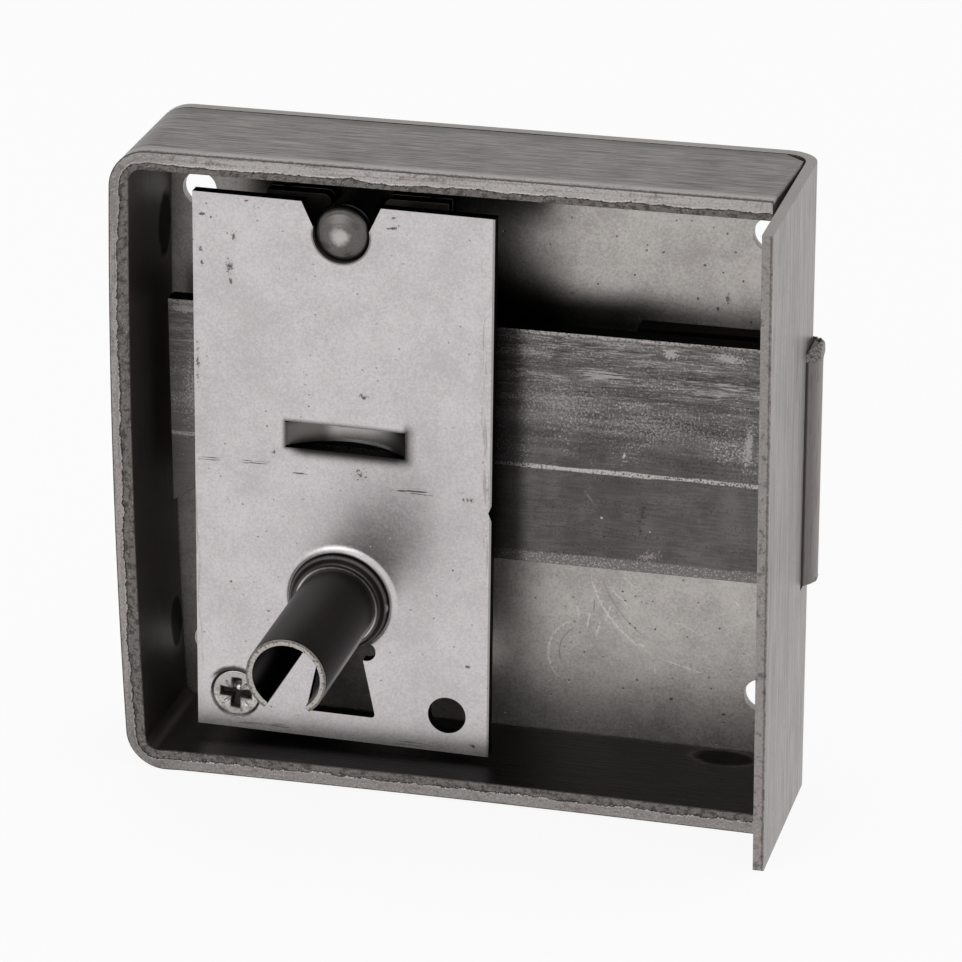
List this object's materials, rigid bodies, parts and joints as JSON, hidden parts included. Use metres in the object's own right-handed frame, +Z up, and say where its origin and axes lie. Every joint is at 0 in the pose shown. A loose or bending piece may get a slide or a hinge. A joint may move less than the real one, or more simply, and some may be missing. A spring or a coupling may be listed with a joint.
{
  "type": "cabinet lock",
  "caption": "Bare steel cabinet rim lock seen from its door side, with a folded sliding bolt, forked tumblers, a bridged cover plate and a rolled key tube in a box case",
  "frame": {"origin": "where the key's axis crosses the door's inner face, which is the plane of the rim's front edge", "axes": "+X the way the bolt is thrown, towards the face plate; +Y from the door into the cupboard, towards the back plate; +Z up"},
  "size_m": [0.0826, 0.0362, 0.079],
  "materials": {
    "plate_steel": "cold-rolled sheet steel, brushed, unplated, light scratches",
    "rim_steel": "thick strip steel, brushed along its length, sheared front edge, weld burns inside",
    "cover_steel": "pale matt sheet steel with pits and scratches",
    "tube_steel": "dark rolled sheet steel with a bright cut end",
    "pin_steel": "turned steel, bare",
    "screw_steel": "zinc-plated steel screw",
    "bolt_steel": "dark mill-scaled strip steel, worn bright in streaks",
    "tumbler_steel": "punched sheet steel, bare",
    "spring_steel": "hardened spring steel"
  },
  "bodies": {
    "case": {"lock_plate": "plate_steel", "rim": "rim_steel", "stud": "pin_steel", "cover_post": "pin_steel", "guide_pin": "pin_steel", "cover_plate": "cover_steel", "key_tube": "tube_steel", "cover_screw": "screw_steel", "tumbler_spring_front": "spring_steel", "tumbler_spring_rear": "spring_steel"},
    "bolt": {"bolt": "bolt_steel", "bolt_stump": "pin_steel"},
    "front_tumbler": {"tumbler_front": "tumbler_steel"},
    "rear_tumbler": {"tumbler_rear": "tumbler_steel"}
  },
  "joints": [
    {"name": "bolt_slide", "type": "slide", "parent": "case", "child": "bolt", "axis": [1, 0, 0], "range_m": [-0.0006, 0.0085]},
    {"name": "front_tumbler_lift", "type": "slide", "parent": "case", "child": "front_tumbler", "axis": [0, 0, 1], "range_m": [0, 0.0025], "stiffness_N_per_m": 200, "springref_m": -0.004, "deforming": ["tumbler_spring_front"]},
    {"name": "rear_tumbler_lift", "type": "slide", "parent": "case", "child": "rear_tumbler", "axis": [0, 0, 1], "range_m": [0, 0.0025], "stiffness_N_per_m": 200, "springref_m": -0.004, "deforming": ["tumbler_spring_rear"]}
  ]
}
